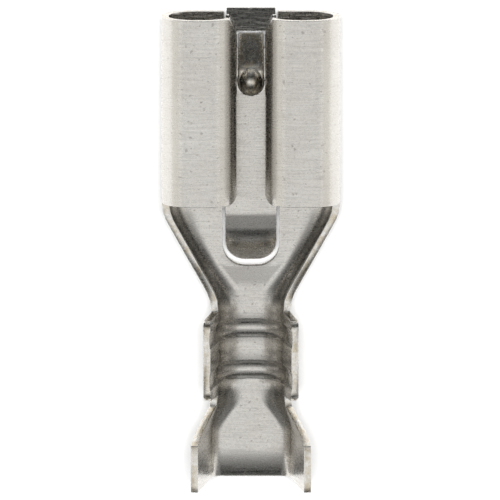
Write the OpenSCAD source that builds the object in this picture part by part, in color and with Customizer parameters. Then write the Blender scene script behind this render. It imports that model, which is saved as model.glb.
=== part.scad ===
// Female spade terminal for a 6.3 x 0.8 mm tab.
// One strip of tin-plated brass, blanked, pierced, lanced and rolled in a progressive die.
// X runs across the strip, +Y leaves through the mouth, and Z rises from the contact floor.
// The origin is the middle of the mouth, on the contact floor that the tab slides over.

/* [Sheet] */
// Thickness of the strip
sheet_t = 0.32; // [0.26:0.01:0.38]

/* [Tab receptacle] */
// Width across the two curls
receptacle_w = 7.6; // [7.2:0.1:8.4]
// Length of the curls
receptacle_len = 8.0; // [7:0.1:9.5]
// Height over the curls, from the underside of the floor
receptacle_h = 3.3; // [3:0.05:3.6]
// Width of the slot between the free edges of the curls
curl_gap = 1.2; // [0.9:0.05:1.6]
// Outer radius of every bend in the curls
curl_r = 1.5; // [1.35:0.05:1.55]
// Height of the free edges over the floor, a little less than the tab
tab_grip = 0.74; // [0.65:0.01:0.8]
// Lead-in cut off the free edges at the mouth, along the strip
lead_in_len = 0.6; // [0.3:0.05:0.9]
// Radius of the rear corners of the free edges
rear_corner_r = 0.45; // [0.25:0.05:0.6]

/* [Mouth lip] */
// Width of the lip that guides the tab in
lip_w = 2.04; // [1.7:0.02:2.4]
// How far the lip stands out past the mouth
lip_out = 0.13; // [0.05:0.01:0.25]
// Slope of the lip down towards the mouth, in degrees
lip_slope = 14; // [6:1:20]
// Width of the relief notch at each side of the lip
relief_w = 0.12; // [0.08:0.01:0.2]
// Length of the relief notches
relief_len = 0.42; // [0.3:0.02:0.55]

/* [Detent] */
// Distance of the dimple behind the mouth
dimple_y = 2.95; // [2.8:0.05:3.4]
// Height of the dimple over the floor
dimple_h = 0.6; // [0.5:0.01:0.64]
// Half the width of the dimple, where its round cap would meet the floor
dimple_r = 0.56; // [0.5:0.01:0.59]
// Half the length of the dimple
dimple_reach = 0.68; // [0.6:0.01:0.75]
// Width of the ramp tongue that carries the dimple
ramp_w = 1.04; // [0.8:0.02:1.1]
// Distance of the tongue's free edge behind the mouth
ramp_y = 0.92; // [0.85:0.01:1.1]
// How far the tongue's free edge lies under the floor
ramp_drop = 0.07; // [0:0.01:0.1]
// Slope of the ramp at its free edge, in degrees
ramp_slope = 22; // [16:1:25]
// Slope of the ramp where it meets the dimple, in degrees
ramp_top_slope = 13; // [8:1:15]
// Width of the slit round the tongue's free end
slit_w = 0.08; // [0.06:0.01:0.12]
// Length of the slit at each side of the tongue
slit_len = 0.6; // [0.4:0.05:0.8]

/* [Locking lance] */
// Width of the lance
lance_w = 2.2; // [1.8:0.05:2.6]
// Length of the lance behind the curls, before it is bent
lance_len = 2.85; // [2.4:0.05:3.1]
// Gap between the lance and the floor round it
lance_gap = 0.12; // [0.08:0.01:0.2]
// Length of the gap that runs in under the curls
lance_root = 0.35; // [0.2:0.05:0.6]
// Distance of its first bend behind the curls
lance_hinge = 0.75; // [0.4:0.05:0.9]
// Bend at the root of the lance, in degrees
lance_bend_1 = 10; // [4:1:14]
// Length of the straight part between its two bends
lance_straight = 0.5; // [0.3:0.05:0.8]
// Length along which its end is bent
lance_turn = 0.7; // [0.4:0.05:1]
// Bend of the lance's end, in degrees
lance_bend_2 = 32; // [22:1:38]
// Radius of the corners of its end
lance_corner_r = 0.85; // [0.5:0.05:1]
// Depth of its end under the floor, where the lowest edge is pressed flat
lance_depth = 1.16; // [0.9:0.02:1.2]

/* [Transition] */
// Height of the side walls behind the curls, from the floor
shoulder_h = 1.4; // [1.25:0.05:1.5]
// Length of the straight side behind the curls
shoulder_len = 0.45; // [0.3:0.05:0.8]
// Length over which the trough narrows
taper_len = 3.85; // [3.4:0.05:4.6]
// Tightest inner bend of the trough
taper_r = 0.75; // [0.6:0.05:1]
// Rounding of the walls where they turn, along the strip
turn_len = 0.45; // [0.2:0.05:0.6]
// How much lower the barrels lie than the receptacle
barrel_drop = 0.14; // [0.05:0.01:0.2]
// Length over which the floor goes down to them
drop_len = 1.9; // [1.5:0.05:2.4]

/* [Wire barrel] */
// Length of the neck in front of the wings
neck_len = 0.5; // [0.3:0.05:0.9]
// Height of the walls in the neck and in the notch behind the wings
neck_h = 1.25; // [1:0.05:1.4]
// Length of the wings
wire_len = 3.6; // [3:0.1:4.5]
// Height of the wings over the floor
wire_h = 3.15; // [2.4:0.05:3.4]
// Inner radius of the barrel's round bottom
wire_r = 1.15; // [1:0.05:1.3]
// Half of the flat at the bottom of the barrel
wire_flat = 0.2; // [0.1:0.05:0.4]
// Angle of the wings from the floor, in degrees
wire_wall = 80; // [74:1:86]
// Number of serration grooves across the barrel
groove_count = 2; // [1:1:3]
// Length of a groove along the strip
groove_len = 0.78; // [0.5:0.02:0.9]
// Depth of a groove
groove_depth = 0.13; // [0.06:0.01:0.16]

/* [Insulation barrel] */
// Length of the notch between the barrels
notch_len = 0.5; // [0.3:0.05:0.8]
// Length of the sloped front edges of the wings
slope_len = 1.3; // [0.9:0.05:1.8]
// Length of the wings at their full height
insulation_len = 2.0; // [1.5:0.1:3]
// Height of the wings over the floor
insulation_h = 3.6; // [2.8:0.05:4]
// Inner radius of the bends
insulation_r = 0.5; // [0.4:0.05:0.8]
// Half of the flat bottom
insulation_flat = 1.2; // [1:0.05:1.5]
// Angle of the wings from the floor, in degrees
insulation_wall = 80; // [74:1:86]
// How far the end of the floor is rolled down, so that it doesn't cut the wire
tail_drop = 0.2; // [0.05:0.01:0.25]
// Length of the floor that is rolled down
tail_len = 1.35; // [1:0.05:1.5]

/* [Hidden] */

TIN = [0.78, 0.77, 0.74];
// Chords in a full circle of the pierced outlines and the dimple
$fn = 32;
// Chords in a quarter turn of the rolled sheet
BEND_STEPS = 9;
BEND_STEP = 90 / BEND_STEPS;
// How far a cutter reaches past what it cuts
CLEAR = 0.5;
// Length over which a sheared edge across the strip is broken
EDGE_BREAK = 0.05;
// Radius of the corners of the wings
WING_CORNER = 0.3;
// Chords in one of them
CORNER_STEPS = 3;
// Chord length along the bent tongues
TONGUE_STEP = 0.1;
// How far a tongue runs into the sheet that carries it, and how deep it lies under its faces there
ROOT = 0.3;
SUNK = 0.01;
// Half the length of the bend at a tongue's hinge
HINGE_TURN = 0.1;
// Share of the sheet's thickness that the dimple's cap runs into
DIMPLE_ROOT = 0.7;
// Share of a groove's depth that is left at the top of the wall
GROOVE_TOP = 1 / 3;
// Bow of the sloped front edges, 1 for a straight one
SLOPE_BOW = 0.85;
// How far the trough runs into the receptacle
SEAM = 0.1;
// Straight land that is left at the top of every wall
LAND = 0.06;

half_w = receptacle_w / 2;
// Inner radius of the curls, and the centres of their bends
curl_in = curl_r - sheet_t;
curl_x = half_w - curl_r;
curl_inner_x = curl_gap / 2 + curl_r;
curl_top_z = receptacle_h - sheet_t - curl_r;
// The last bend passes its lowest point by this angle and stops over the tab
curl_end = asin((curl_top_z - tab_grip) / curl_r);

// Stations along the strip
taper_start = -receptacle_len - shoulder_len;
taper_end = taper_start - taper_len;
wire_start = taper_end - neck_len;
wire_end = wire_start - wire_len;
slope_start = wire_end - notch_len;
slope_end = slope_start - slope_len;
tail = slope_end - insulation_len;

// Outer half width of the barrel at the height of the neck
neck_half = top_half(wire_flat, wire_r, wire_wall, neck_h);

function mix(a, b, k) = a + (b - a) * min(1, max(0, k));
function ease(k) = let (c = min(1, max(0, k))) c * c * (3 - 2 * c);
// The lesser of two values, with the corner between them rounded while they differ by less than s
function soft_min(a, b, s) = min(a, b) - pow(max(0, s - abs(a - b)), 2) / (4 * s);
function soft_max(a, b, s) = -soft_min(-a, -b, s);

// Turn of the bend in a wall of the height h, and the straight wall that follows it
function turn(r, wall, h) = h - LAND < r * (1 - cos(wall)) ? acos(1 - (h - LAND) / r) : wall;
function rise(r, wall, h) = (h - r * (1 - cos(turn(r, wall, h)))) / sin(turn(r, wall, h));
function top_half(flat, r, wall, h) =
    let (a = turn(r, wall, h)) flat + (r + sheet_t) * sin(a) + rise(r, wall, h) * cos(a);

// Side path of the trough's section from the floor's edge to the wall's top, d outside the inner face.
// A groove cuts the wall to only a part of its depth at the top.
function side_path(flat, r, wall, h, d, d_top) =
    let (
        a = turn(r, wall, h),
        foot = [flat + r * sin(a), r - r * cos(a)],
        out = [sin(a), -cos(a)]
    )
    concat(
        [for (i = [0:BEND_STEPS])
            let (p = a * i / BEND_STEPS) [flat + (r + d) * sin(p), r - (r + d) * cos(p)]],
        [foot + rise(r, wall, h) * [cos(a), sin(a)] + d_top * out]
    );

function mirrored(path) = [for (p = path) [-p[0], p[1]]];
function backwards(path) = [for (i = [len(path) - 1:-1:0]) path[i]];

// Closed section of the trough at y: down the left side, across the floor and up the right one
function trough_ring(y, h) =
    let (
        flat = flat_at(y, h),
        r = radius_at(y),
        wall = wall_at(y),
        sunk = SUNK * max(0, 1 + (y + receptacle_len) / SEAM),
        skin_t = sheet_t - sunk,
        d = groove_at(y),
        outer = side_path(flat, r, wall, h, skin_t, skin_t),
        inner = side_path(flat, r, wall, h, d + sunk, d * GROOVE_TOP + sunk),
        ring = concat(
            backwards(mirrored(outer)),
            outer,
            backwards(inner),
            mirrored(inner)
        )
    )
    [for (p = ring) [p[0], y, p[1] + level_at(y) - roll_at(y) * (1 - max(0, p[1]) / h)]];

// How the section changes along the strip
function along(y, from, to) = (from - y) / (from - to);
function radius_at(y) =
    y > wire_start
        ? mix(
            mix(curl_in, taper_r, ease(along(y, -receptacle_len, (taper_start + taper_end) / 2))),
            wire_r,
            ease(along(y, (taper_start + taper_end) / 2, wire_start))
        )
        : mix(wire_r, insulation_r, ease(along(y, wire_end, slope_end)));
function wall_at(y) =
    y > wire_start
        ? mix(90, wire_wall, ease(along(y, taper_start, wire_start)))
        : mix(wire_wall, insulation_wall, ease(along(y, wire_end, slope_end)));
// The top edges of the trough run in along straight lines, rounded where they start and end
function edge_at(y) =
    let (line = half_w + (neck_half - half_w) * along(y, taper_start, taper_end))
    soft_min(half_w, soft_max(neck_half, line, turn_len / 2), turn_len / 2);
function flat_at(y, h) =
    y > wire_start
        ? edge_at(y) - top_half(0, radius_at(y), wall_at(y), h)
        : mix(wire_flat, insulation_flat, ease(along(y, wire_end, slope_end)));
// Depth of the serration grooves, rounded at the bottom
groove_pitch = wire_len / groove_count;
function groove_at(y) =
    y > wire_start || y < wire_end
        ? 0
        : let (
            place = (wire_start - y) % groove_pitch - groove_pitch / 2,
            k = abs(place) * 2 / groove_len
        )
        k < 1 ? groove_depth * cos(90 * k * k) : 0;

// The blank's upper outline, as places along the strip and heights of the wall there
function corner(y, h, r, from, to) =
    [for (i = [0:CORNER_STEPS])
        let (a = from + (to - from) * i / CORNER_STEPS) [y - r * cos(a), h - r + r * sin(a)]];
function grooves_y(k) = wire_start - groove_pitch * (k + 0.5);

// Sections of the trough where it narrows, on a sloped front edge and on the rolled-down end
TAPER_STEPS = 13;
SLOPE_STEPS = 7;
TAIL_STEPS = 5;
taper_outline = concat(
    [for (s = [1, 0, -1]) [-receptacle_len + s * SEAM, shoulder_h]],
    [for (i = [1:TAPER_STEPS])
        let (k = i / TAPER_STEPS)
        [mix(-receptacle_len - SEAM, taper_end, k), mix(shoulder_h, neck_h, ease(k))]]
);
// Stations across a groove, in halves of its length
GROOVE_STEPS = [-1, -0.8, -0.5, 0, 0.5, 0.8, 1];
groove_outline = [for (k = [0:groove_count - 1])
    for (s = GROOVE_STEPS) [grooves_y(k) - s * groove_len / 2, wire_h]];
wire_outline = concat(
    [[wire_start, neck_h]],
    corner(wire_start - EDGE_BREAK - WING_CORNER, wire_h, WING_CORNER, 180, 90),
    groove_outline,
    corner(wire_end + EDGE_BREAK + WING_CORNER, wire_h, WING_CORNER, 90, 0),
    [[wire_end, neck_h]]
);
insulation_outline = concat(
    [for (i = [0:SLOPE_STEPS - 1])
        let (k = i / SLOPE_STEPS)
        [mix(slope_start, slope_end, k), mix(neck_h, insulation_h, pow(k, SLOPE_BOW))]],
    [[slope_end, insulation_h]],
    [for (i = [0:TAIL_STEPS]) [mix(tail + tail_len, tail, i / TAIL_STEPS), insulation_h]]
);
trough_outline = concat(taper_outline, wire_outline, insulation_outline);

// Level of the trough's floor at y, and how much further the rolled-down end of it lies there
function level_at(y) = -barrel_drop * ease(along(y, taper_end + drop_len, taper_end));
function roll_at(y) = tail_drop * pow(max(0, along(y, tail + tail_len, tail)), 2);

// Solid skin over sections that all have the same number of points
module skin(rings) {
    n = len(rings[0]);
    last = (len(rings) - 1) * n;
    sides = [for (j = [0:len(rings) - 2])
        for (i = [0:n - 1])
            let (a = j * n + i, b = j * n + (i + 1) % n)
            each [[a, b + n, b], [a, a + n, b + n]]];
    ends = [[for (i = [0:n - 1]) i], [for (i = [n - 1:-1:0]) last + i]];
    polyhedron([for (ring = rings) each ring], concat(sides, ends));
}

// Trough behind the curls: transition, neck, wire barrel and insulation barrel
module trough() {
    skin([for (s = trough_outline) trough_ring(s[0], s[1])]);
}

// Chords of one bend about a centre, from one heading to another, at radius r
function bend(x, z, r, from, to) =
    let (steps = ceil((to - from) / BEND_STEP))
    [for (i = [0:steps])
        let (p = from + min(to - from, i * BEND_STEP)) [x + r * sin(p), z - r * cos(p)]];
function curl_path(r) =
    concat(
        bend(curl_x, curl_in, r, 0, 90),
        bend(curl_x, curl_top_z, r, 90, 180),
        bend(curl_inner_x, curl_top_z, r, 180, 270 + curl_end)
    );

// Floor and curls of the receptacle, rolled over from both sides
module receptacle() {
    outer = curl_path(curl_r);
    inner = curl_path(curl_in);
    rotate([90, 0, 0])
        linear_extrude(receptacle_len)
            polygon(concat(backwards(mirrored(outer)), outer, backwards(inner), mirrored(inner)));
}

// What is cut off the free edges: a slanted lead-in at the mouth and round corners at the rear
module curl_corner_cuts() {
    edge_x = curl_gap / 2 - SUNK;
    rear_y = -receptacle_len - SUNK;
    for (side = [0, 1])
        mirror([side, 0, 0])
            translate([0, 0, tab_grip / 2])
                linear_extrude(receptacle_h) {
                    polygon([
                        [0, CLEAR],
                        [edge_x + sheet_t + CLEAR, CLEAR],
                        [edge_x + sheet_t, 0],
                        [edge_x, -lead_in_len],
                        [0, -lead_in_len]
                    ]);
                    difference() {
                        translate([0, rear_y - CLEAR])
                            square([edge_x + rear_corner_r, rear_corner_r + CLEAR]);
                        translate([edge_x + rear_corner_r, rear_y + rear_corner_r])
                            circle(rear_corner_r);
                    }
                }
}

// Slit pierced through the floor between two places, with round ends
module slit(from, to, width) {
    translate([0, 0, -sheet_t - CLEAR])
        linear_extrude(sheet_t + 2 * CLEAR)
            hull() {
                translate(from)
                    circle(width / 2);
                translate(to)
                    circle(width / 2);
            }
}

// Tongue of sheet bent along the strip: headings gives its slope against the way gone from its start
function tongue_point(start, headings, i) =
    i == 0
        ? start
        : let (a = lookup((i - 0.5) * TONGUE_STEP, headings))
        tongue_point(start, headings, i - 1) + TONGUE_STEP * [-cos(a), sin(a)];
module tongue(start, headings, way, width) {
    steps = ceil(way / TONGUE_STEP);
    top = [for (i = [0:steps]) tongue_point(start, headings, i)];
    under = [for (i = [0:steps])
        let (a = lookup(i * TONGUE_STEP, headings)) top[i] - (sheet_t - 2 * SUNK) * [sin(a), cos(a)]];
    rotate([90, 0, 90])
        translate([0, 0, -width / 2])
            linear_extrude(width)
                polygon(concat(top, backwards(under)));
}

// Lance: the floor keeps a tab up to its hinge, and the bent tongue starts inside that tab
lance_start = -receptacle_len + lance_root;
lance_end = -receptacle_len - lance_len;
lance_bend_y = -receptacle_len - lance_hinge + HINGE_TURN;
// Its plan: straight sides and an end with round corners, grown by the gap
module lance_plan(from, grow) {
    half = lance_w / 2;
    hull() {
        translate([-half - grow, from - ROOT])
            square([lance_w + 2 * grow, ROOT]);
        for (side = [-1, 1])
            translate([side * (half - lance_corner_r), lance_end + lance_corner_r])
                circle(lance_corner_r + grow);
    }
}
module lance_window() {
    translate([0, 0, -sheet_t - CLEAR])
        linear_extrude(sheet_t + 2 * CLEAR)
            difference() {
                lance_plan(lance_start, lance_gap);
                translate([-lance_w / 2, lance_bend_y])
                    square([lance_w, lance_start - lance_bend_y + CLEAR]);
            }
}
// The lance keeps to its plan as it is bent down, and its lowest edge is pressed flat
module lance() {
    bent = ROOT + 2 * HINGE_TURN;
    turn_start = bent + lance_straight;
    headings = [
        [ROOT, 0],
        [bent, -lance_bend_1],
        [turn_start, -lance_bend_1],
        [turn_start + lance_turn, -lance_bend_2]
    ];
    intersection() {
        tongue(
            [lance_bend_y + ROOT, -SUNK],
            headings,
            ROOT + lance_bend_y - lance_end + CLEAR,
            lance_w + CLEAR
        );
        translate([0, 0, -lance_depth])
            linear_extrude(lance_depth + CLEAR)
                lance_plan(lance_bend_y + ROOT, -SUNK);
    }
}

// Slit round the front of the ramp tongue and along its sides
module ramp_slits() {
    x = (ramp_w + slit_w - SUNK) / 2;
    front = -ramp_y + slit_w / 2;
    slit([-x, front], [x, front], slit_w);
    for (side = [-1, 1])
        slit([side * x, front], [side * x, -ramp_y - slit_len], slit_w);
}
// Space under the raised tongue, where the floor was before it was drawn up
module ramp_window() {
    free_w = ramp_w + slit_w;
    drawn_w = ramp_w - 2 * SUNK;
    translate([-free_w / 2, -ramp_y - slit_len, -sheet_t - CLEAR])
        cube([free_w, slit_len + slit_w / 2, sheet_t + 2 * CLEAR]);
    translate([-drawn_w / 2, -dimple_y, -sheet_t - CLEAR])
        cube([drawn_w, dimple_y - ramp_y - slit_len + SUNK, sheet_t + 2 * CLEAR]);
}
// Plan of the tongue: a straight front and an end that is round behind the dimple
module ramp_plan() {
    hull() {
        translate([-ramp_w / 2, -ramp_y - slit_len])
            square([ramp_w, ROOT]);
        translate([0, -dimple_y - dimple_reach + dimple_r])
            circle(dimple_r);
    }
    translate([-ramp_w / 2, -ramp_y - slit_len])
        square([ramp_w, slit_len + CLEAR]);
}
// The tongue climbs to the dimple and comes down to the floor behind it
module ramp() {
    crest = dimple_y - dimple_reach - ramp_y;
    headings = [
        [0, ramp_slope],
        [crest, ramp_top_slope],
        [crest + dimple_reach / 2, 0],
        [crest + dimple_reach, -ramp_top_slope],
        [crest + 2 * dimple_reach, -ramp_slope]
    ];
    intersection() {
        tongue([-ramp_y, -ramp_drop], headings, crest + 2 * dimple_reach, ramp_w + CLEAR);
        translate([0, 0, -receptacle_h])
            linear_extrude(2 * receptacle_h)
                ramp_plan();
    }
}

// Dimple pressed up from below by a long round-nosed punch
ball_r = (dimple_r * dimple_r + dimple_h * dimple_h) / (2 * dimple_h);
module dimple() {
    intersection() {
        translate([0, -dimple_y, dimple_h - ball_r])
            scale([1, dimple_reach / dimple_r, 1])
                sphere(ball_r);
        translate([-ball_r, -dimple_y - 2 * ball_r, -DIMPLE_ROOT * sheet_t])
            cube([2 * ball_r, 4 * ball_r, sheet_t + dimple_h]);
    }
}
module dimple_hollow() {
    hollow_r = ball_r - sheet_t;
    translate([0, -dimple_y, dimple_h - ball_r])
        hull() {
            sphere(hollow_r);
            translate([0, 0, -sheet_t - CLEAR])
                cylinder(r = hollow_r, h = CLEAR);
        }
}

// Lip in the middle of the mouth, bent down as a lead-in for the tab
lip_len = ramp_y - slit_w;
module lip_window() {
    translate([-lip_w / 2, -lip_len, -sheet_t - CLEAR])
        cube([lip_w, lip_len + CLEAR, sheet_t + 2 * CLEAR]);
    for (side = [-1, 1])
        slit([side * (lip_w + relief_w) / 2, CLEAR], [side * (lip_w + relief_w) / 2, -relief_len], relief_w);
}
module lip() {
    headings = [
        [ROOT - HINGE_TURN, 0],
        [ROOT + HINGE_TURN, -lip_slope]
    ];
    mirror([0, 1, 0])
        tongue(
            [lip_len + ROOT, -SUNK],
            headings,
            ROOT + (lip_len + lip_out) / cos(lip_slope),
            lip_w + 4 * SUNK
        );
}

module terminal() {
    color(TIN)
        difference() {
            union() {
                difference() {
                    union() {
                        difference() {
                            union() {
                                receptacle();
                                trough();
                            }
                            curl_corner_cuts();
                            lance_window();
                            lip_window();
                        }
                        lip();
                    }
                    ramp_window();
                    ramp_slits();
                }
                lance();
                ramp();
                dimple();
            }
            dimple_hollow();
        }
}

terminal();
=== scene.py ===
import math

import bmesh
import bpy
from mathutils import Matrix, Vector


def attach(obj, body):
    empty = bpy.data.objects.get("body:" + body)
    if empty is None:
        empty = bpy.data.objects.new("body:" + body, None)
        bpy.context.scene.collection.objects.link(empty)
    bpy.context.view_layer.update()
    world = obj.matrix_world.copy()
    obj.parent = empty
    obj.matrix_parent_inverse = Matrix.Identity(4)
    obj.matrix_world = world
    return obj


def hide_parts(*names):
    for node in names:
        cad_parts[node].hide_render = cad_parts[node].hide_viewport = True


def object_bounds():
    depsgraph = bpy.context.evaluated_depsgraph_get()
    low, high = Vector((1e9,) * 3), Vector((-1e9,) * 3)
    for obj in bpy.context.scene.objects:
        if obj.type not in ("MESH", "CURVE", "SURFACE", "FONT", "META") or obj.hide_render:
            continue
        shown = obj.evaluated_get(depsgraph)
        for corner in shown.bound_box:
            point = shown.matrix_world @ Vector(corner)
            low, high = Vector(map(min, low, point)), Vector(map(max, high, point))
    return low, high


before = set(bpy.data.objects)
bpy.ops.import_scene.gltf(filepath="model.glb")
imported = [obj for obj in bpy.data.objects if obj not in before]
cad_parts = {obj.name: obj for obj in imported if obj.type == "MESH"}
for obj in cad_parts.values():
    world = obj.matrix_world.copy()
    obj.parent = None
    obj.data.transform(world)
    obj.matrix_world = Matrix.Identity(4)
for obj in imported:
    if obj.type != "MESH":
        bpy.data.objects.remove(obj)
cad_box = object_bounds()


# ---------------------------------------------------------------- stamped strip
# The whole terminal is one strip of tin-plated brass: blanked and pierced flat, then lanced,
# dimpled and rolled up in a progressive die. Its mesh starts as a copy of the strip's true solid,
# and gets the rolled-over edges and the bare shear faces that the punches leave.

MM = 0.001
# The solid's triangles are loose: points this close are joined, and flat areas become one face
WELD = 0.015 * MM
FLAT_ANGLE = math.radians(0.3)
# An edge sharper than this was sheared, and the others are bends in the sheet
SHEARED_ANGLE = math.radians(38)
SMOOTH_ANGLE = math.radians(32)
ROLLOVER = 0.028 * MM
ROLLOVER_STEPS = 2
# A shear face is a ribbon one sheet thick, so its area over its outline stays under this
RIBBON = 0.2 * MM
# Order of the finishes on the strip
TIN_SLOT, SHEARED_SLOT, ROLLED_SLOT = range(3)

bpy.ops.object.select_all(action="DESELECT")
strip = bpy.data.objects.new("stamped_strip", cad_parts["terminal"].data.copy())
bpy.context.scene.collection.objects.link(strip)
strip.data.materials.clear()
strip.select_set(True)
bpy.context.view_layer.objects.active = strip

bpy.ops.object.mode_set(mode="EDIT")
bpy.ops.mesh.select_all(action="SELECT")
bpy.ops.mesh.remove_doubles(threshold=WELD)
bpy.ops.mesh.dissolve_limited(angle_limit=FLAT_ANGLE)


def sheared_faces(faces):
    """Faces of every smooth region that is as narrow as the sheet is thick."""
    found = []
    seen = set()
    for start in faces:
        if start in seen:
            continue
        seen.add(start)
        region = [start]
        outline = 0
        for face in region:
            for edge in face.edges:
                if not edge.is_manifold or edge.calc_face_angle() > SHEARED_ANGLE:
                    outline += edge.calc_length()
                    continue
                for other in edge.link_faces:
                    if other not in seen:
                        seen.add(other)
                        region.append(other)
        if sum(face.calc_area() for face in region) < RIBBON * outline:
            found.extend(region)
    return found


mesh = bmesh.from_edit_mesh(strip.data)
for face in mesh.faces:
    face.material_index = TIN_SLOT
for face in sheared_faces(mesh.faces):
    face.material_index = SHEARED_SLOT
bmesh.update_edit_mesh(strip.data)

# Weight of the finer detail in every grain
GRAIN_ROUGHNESS = 0.6


def finish(name):
    """New bare metal: its nodes, its shader and the place on the strip in metres."""
    metal = bpy.data.materials.new(name)
    metal.use_nodes = True
    tree = metal.node_tree
    shader = tree.nodes["Principled BSDF"]
    shader.inputs["Metallic"].default_value = 1
    strip.data.materials.append(metal)
    return tree, shader, tree.nodes.new("ShaderNodeTexCoord").outputs["Object"]


def grain(tree, place, size, detail=2):
    """Noise with grains of this size in mm along X, Y and Z."""
    stretch = tree.nodes.new("ShaderNodeMapping")
    stretch.inputs["Scale"].default_value = [1 / (length * MM) for length in size]
    tree.links.new(place, stretch.inputs["Vector"])
    noise = tree.nodes.new("ShaderNodeTexNoise")
    noise.inputs["Scale"].default_value = 1
    noise.inputs["Detail"].default_value = detail
    noise.inputs["Roughness"].default_value = GRAIN_ROUGHNESS
    tree.links.new(stretch.outputs["Vector"], noise.inputs["Vector"])
    return noise.outputs["Fac"]


def spread(tree, value, old, new):
    """Value carried from its old range to a new one, and held at the ends."""
    carry = tree.nodes.new("ShaderNodeMapRange")
    for name, number in zip(("From Min", "From Max", "To Min", "To Max"), (*old, *new)):
        carry.inputs[name].default_value = number
    tree.links.new(value, carry.inputs["Value"])
    return carry.outputs["Result"]


def combine(tree, operation, first, second):
    """Sum, product or other result of two values."""
    node = tree.nodes.new("ShaderNodeMath")
    node.operation = operation
    for socket, value in zip(node.inputs, (first, second)):
        if isinstance(value, (int, float)):
            socket.default_value = value
        else:
            tree.links.new(value, socket)
    return node.outputs["Value"]


def layered(tree, layers):
    """Sum of values, each times its share."""
    total = None
    for value, share in layers:
        part = combine(tree, "MULTIPLY", value, share)
        total = part if total is None else combine(tree, "ADD", total, part)
    return total


def tint(tree, shader, factor, dull, bright):
    """Colour between two tones of the metal."""
    ramp = tree.nodes.new("ShaderNodeValToRGB")
    ramp.color_ramp.elements[0].color = (*dull, 1)
    ramp.color_ramp.elements[1].color = (*bright, 1)
    tree.links.new(factor, ramp.inputs["Fac"])
    tree.links.new(ramp.outputs["Color"], shader.inputs["Base Color"])


def relief(tree, shader, height):
    """Surface raised by a height in mm."""
    bump = tree.nodes.new("ShaderNodeBump")
    bump.inputs["Distance"].default_value = MM
    tree.links.new(height, bump.inputs["Height"])
    tree.links.new(bump.outputs["Normal"], shader.inputs["Normal"])


# Tin plate: satin, with the mill's fine brush marks and streaks across the strip, cloudy patches
# where the tin has flowed, a speckle of fine grains, small pits, and slow waves in the sheet

# Grain sizes along X, Y and Z, in mm
CLOUD_SIZE = (2.0, 2.9, 2.0)
BRUSH_SIZE = (1.1, 0.07, 1.1)
STREAK_SIZE = (2.9, 0.24, 2.9)
SPECKLE_SIZE = (0.11, 0.11, 0.11)
PIT_SIZE = (0.19, 0.17, 0.19)
WAVE_SIZE = (3.8, 2.4, 3.8)
# Only the peaks of their noise are pits
PIT_PEAKS = (0.68, 0.76)
# Colours, the share of each pattern in them, and the range of the sum that runs between the two
TIN_DULL = (0.640, 0.608, 0.572)
TIN_BRIGHT = (0.725, 0.710, 0.668)
CLOUD_TONE = 0.7
STREAK_TONE = 0.3
PIT_TONE = -0.5
TIN_TONES = (0.3, 0.7)
# Roughness of the smoothest tin, and what each pattern adds
SMOOTHEST = 0.09
BRUSH_ROUGH = 0.20
SPECKLE_ROUGH = 0.16
PIT_ROUGH = 0.15
# Heights in mm
BRUSH_HEIGHT = 0.00025
SPECKLE_HEIGHT = 0.00018
STREAK_HEIGHT = 0.0006
WAVE_HEIGHT = 0.004
PIT_HEIGHT = -0.0006
# The tools drew stronger marks across the mouth, ahead of the dimple and under the curls
DRAWN_SIZE = (0.7, 0.11, 0.7)
DRAWN_ENDS = (-2.45 * MM, -2.25 * MM)
DRAWN_TOP = 0.65 * MM
DRAWN_HEIGHT = 0.014
# The dimple is burnished where the die's hollow held it
DIMPLE_MIDDLE = (0, -2.95 * MM, 0.1 * MM)
DIMPLE_FADE = (0.62 * MM, 0.72 * MM)
DIMPLE_GLOSS = 0.25

tree, shader, place = finish("tin_plate")
clouds = grain(tree, place, CLOUD_SIZE, detail=3)
brush = grain(tree, place, BRUSH_SIZE)
streaks = grain(tree, place, STREAK_SIZE, detail=3)
speckle = grain(tree, place, SPECKLE_SIZE)
pits = spread(tree, grain(tree, place, PIT_SIZE, detail=1), PIT_PEAKS, (0, 1))
waves = grain(tree, place, WAVE_SIZE)
draw_marks = grain(tree, place, DRAWN_SIZE, detail=1)

axes = tree.nodes.new("ShaderNodeSeparateXYZ")
tree.links.new(place, axes.inputs["Vector"])
ahead = spread(tree, axes.outputs["Y"], DRAWN_ENDS, (0, 1))
under_curls = combine(tree, "LESS_THAN", axes.outputs["Z"], DRAWN_TOP)
drawn = combine(tree, "MULTIPLY", ahead, under_curls)

tone = layered(tree, ((clouds, CLOUD_TONE), (streaks, STREAK_TONE), (pits, PIT_TONE)))
tint(tree, shader, spread(tree, tone, TIN_TONES, (0, 1)), TIN_DULL, TIN_BRIGHT)

added = layered(tree, ((brush, BRUSH_ROUGH), (speckle, SPECKLE_ROUGH), (pits, PIT_ROUGH)))
from_dimple = tree.nodes.new("ShaderNodeVectorMath")
from_dimple.operation = "DISTANCE"
from_dimple.inputs[1].default_value = DIMPLE_MIDDLE
tree.links.new(place, from_dimple.inputs[0])
burnish = spread(tree, from_dimple.outputs["Value"], DIMPLE_FADE, (DIMPLE_GLOSS, 1))
rough = combine(tree, "ADD", added, SMOOTHEST)
tree.links.new(combine(tree, "MULTIPLY", rough, burnish), shader.inputs["Roughness"])

heights = (
    (brush, BRUSH_HEIGHT),
    (speckle, SPECKLE_HEIGHT),
    (streaks, STREAK_HEIGHT),
    (waves, WAVE_HEIGHT),
    (pits, PIT_HEIGHT),
    (combine(tree, "MULTIPLY", draw_marks, drawn), DRAWN_HEIGHT),
)
relief(tree, shader, layered(tree, heights))

# Shear faces: brass under smeared tin, scored through the sheet's thickness by the punch
BARE_BRASS = (0.66, 0.59, 0.47)
SMEARED_TIN = (0.84, 0.82, 0.78)
SMEAR_SIZE = (0.4, 0.4, 0.4)
SMEAR_TONES = (0.35, 0.65)
SCORE_SIZE = (0.11, 0.11, 1.1)
SCORE_TONES = (0.3, 0.7)
SCORE_ROUGHNESS = (0.20, 0.32)
SCORE_HEIGHT = 0.0015

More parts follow.
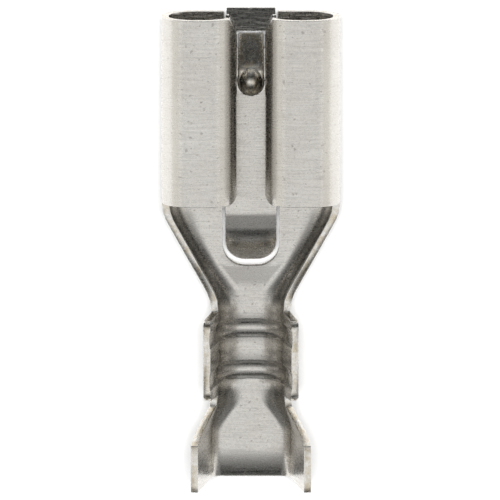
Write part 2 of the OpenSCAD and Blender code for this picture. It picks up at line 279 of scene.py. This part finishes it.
tree, shader, place = finish("sheared_brass")
smear = grain(tree, place, SMEAR_SIZE, detail=3)
score = grain(tree, place, SCORE_SIZE)
tint(tree, shader, spread(tree, smear, SMEAR_TONES, (0, 1)), BARE_BRASS, SMEARED_TIN)
tree.links.new(spread(tree, score, SCORE_TONES, SCORE_ROUGHNESS), shader.inputs["Roughness"])
relief(tree, shader, combine(tree, "MULTIPLY", score, SCORE_HEIGHT))

# Rolled-over edges: tin burnished smooth by the die, with small nicks from tumbling, and coloured
# brighter than the tin plate as a painted highlight along every sheared edge
# Edge tones, both painted brighter than the tin plate as a highlight
HIGHLIGHT_EDGE_DULL = (0.68, 0.66, 0.62)
HIGHLIGHT_EDGE_BRIGHT = (0.86, 0.85, 0.82)
NICK_SIZE = (0.25, 0.25, 0.25)
NICK_TONES = (0.3, 0.7)
NICK_ROUGHNESS = (0.14, 0.30)
NICK_HEIGHT = 0.004

tree, shader, place = finish("burnished_tin_painted_highlight")
nicks = grain(tree, place, NICK_SIZE, detail=3)
# Painted highlight: the edge colour runs between two tones lighter than the tin, so the edges
# show as light lines
tint(tree, shader, spread(tree, nicks, NICK_TONES, (0, 1)), HIGHLIGHT_EDGE_DULL, HIGHLIGHT_EDGE_BRIGHT)
tree.links.new(spread(tree, nicks, NICK_TONES, NICK_ROUGHNESS), shader.inputs["Roughness"])
relief(tree, shader, combine(tree, "MULTIPLY", nicks, NICK_HEIGHT))

# The punches and the die roll every sheared edge over. The finishes come first, as the bevel can
# only use a slot that is filled.
bpy.ops.mesh.select_mode(type="EDGE")
bpy.ops.mesh.select_all(action="DESELECT")
bpy.ops.mesh.edges_select_sharp(sharpness=SHEARED_ANGLE)
bpy.ops.mesh.bevel(
    offset=ROLLOVER,
    segments=ROLLOVER_STEPS,
    clamp_overlap=False,
    material=ROLLED_SLOT,
)
bpy.ops.object.mode_set(mode="OBJECT")

# It overshoots a little at some corners, so every point is kept inside the strip's outer size
for vertex in strip.data.vertices:
    vertex.co = [min(max(way, low), high) for way, low, high in zip(vertex.co, *cad_box)]
bpy.ops.object.shade_smooth_by_angle(angle=SMOOTH_ANGLE)
even = strip.modifiers.new("even", "WEIGHTED_NORMAL")
even.keep_sharp = True
bpy.ops.object.modifier_apply(modifier="even")

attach(strip, "root")
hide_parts("terminal")


# ---------------------------------------------------------------- table top
# Board with a plain white lacquer. The terminal lies on the pressed end of its lance and on the
# lip of its mouth, so the board runs just under those two.

LANCE_FOOT = Vector((0, -10.70 * MM, -1.16 * MM))
LIP_FOOT = Vector((0, 0.06 * MM, -0.543 * MM))
BOARD_SIZE = 1.2
BOARD_GAP = 0.01 * MM
WHITE = (0.9, 0.9, 0.9, 1)
LACQUER_ROUGHNESS = 0.6
LACQUER_GLOW = 0.02

bpy.ops.object.select_all(action="DESELECT")
bpy.ops.mesh.primitive_plane_add(size=BOARD_SIZE)
board = bpy.context.object
board.name = "table_top"
lie = LIP_FOOT - LANCE_FOOT
board.rotation_euler = (math.atan2(lie.z, lie.y), 0, 0)
board.location = (LANCE_FOOT + LIP_FOOT) / 2 - Vector((0, 0, BOARD_GAP))

lacquer = bpy.data.materials.new("white_lacquer")
lacquer.use_nodes = True
shader = lacquer.node_tree.nodes["Principled BSDF"]
shader.inputs["Base Color"].default_value = WHITE
shader.inputs["Roughness"].default_value = LACQUER_ROUGHNESS
shader.inputs["Emission Color"].default_value = WHITE
shader.inputs["Emission Strength"].default_value = LACQUER_GLOW
board.data.materials.append(lacquer)


# ---------------------------------------------------------------- lights
# Tent of soft panels in one band across the strip, fading to the front and the rear, with dim
# cards off its two ends. A large lamp behind the camera lights the board and doesn't show in the
# tin.

BAND_CENTRE = Vector((0, -10.3 * MM, 1 * MM))
NEUTRAL = (1, 1, 1)
WARM = (1, 0.985, 0.945)
# Name, offset from the middle of the band, width and length in metres, and brightness
OVERHEAD = (
    ("overhead_panel", (0, -0.052, 0.300), 1.10, 0.115, 0.73),
    ("overhead_fade", (0, -0.050, 0.310), 1.10, 0.285, 0.27),
)
END_CARDS = (
    ("mouth_card", (0, 0.300, 0.135), 0.34, 0.15, 0.45),
    ("mouth_fill", (0, 0.280, 0.300), 0.50, 0.12, 0.14),
    ("tail_card", (0, -0.300, 0.110), 0.34, 0.14, 0.22),
)
BOARD_LAMP = ("board_lamp", (0, 0.330, 1.972), 0.60, 0.60, 39)
# The same for one side, with its colour
SIDE_PANELS = (
    ("panel", (0.300, -0.050, 0.070), 0.20, 0.16, 0.62, WARM),
    ("fade", (0.310, -0.050, 0.070), 0.20, 0.28, 0.30, WARM),
    ("rear_fill", (0.240, -0.220, 0.130), 0.26, 0.26, 0.20, NEUTRAL),
    ("front_fill", (0.250, 0.150, 0.130), 0.22, 0.22, 0.06, NEUTRAL),
)
DUSK_COLOUR = (0.92, 1, 0.98, 1)
DUSK_STRENGTH = 0.022


def soft_panel(name, offset, width, length, brightness, colour=NEUTRAL):
    """Panel that faces the strip and glows with an even brightness."""
    light = bpy.data.lights.new(name, "AREA")
    light.shape = "RECTANGLE"
    light.size = width
    light.size_y = length
    light.energy = brightness * math.pi * width * length
    light.color = colour
    panel = bpy.data.objects.new(name, light)
    bpy.context.scene.collection.objects.link(panel)
    panel.location = BAND_CENTRE + Vector(offset)
    panel.rotation_euler = (-Vector(offset)).to_track_quat("-Z", "Y").to_euler()
    return panel


for row in OVERHEAD:
    soft_panel(*row)
for side, side_name in ((-1, "left"), (1, "right")):
    for use, (out, along, up), *rest in SIDE_PANELS:
        soft_panel(side_name + "_" + use, (side * out, along, up), *rest)
for row in END_CARDS:
    soft_panel(*row)
board_lamp = soft_panel(*BOARD_LAMP)
board_lamp.visible_glossy = False

studio = bpy.data.worlds.new("studio")
studio.use_nodes = True
dusk = studio.node_tree.nodes["Background"]
dusk.inputs["Color"].default_value = DUSK_COLOUR
dusk.inputs["Strength"].default_value = DUSK_STRENGTH
bpy.context.scene.world = studio


# ---------------------------------------------------------------- camera
# Long lens that looks down on the terminal, leaning a little over the mouth. The field is the
# width that it takes in at the terminal.

LEAN = math.radians(9.5)
DISTANCE = 0.4
FIELD = 21.37 * MM
AIM = Vector((-0.04 * MM, -10.30 * MM, 0))
# Width of the sensor in mm, and how near and far the lens sees in metres
SENSOR = 36
NEAR = 0.01
FAR = 10

lens = bpy.data.cameras.new("camera")
lens.sensor_width = SENSOR
lens.lens = SENSOR * DISTANCE / FIELD
lens.clip_start = NEAR
lens.clip_end = FAR
camera = bpy.data.objects.new("camera", lens)
bpy.context.scene.collection.objects.link(camera)
camera.location = AIM + DISTANCE * Vector((0, math.sin(LEAN), math.cos(LEAN)))
camera.rotation_euler = (-LEAN, 0, 0)
bpy.context.scene.camera = camera
bpy.context.scene.view_settings.view_transform = "Standard"
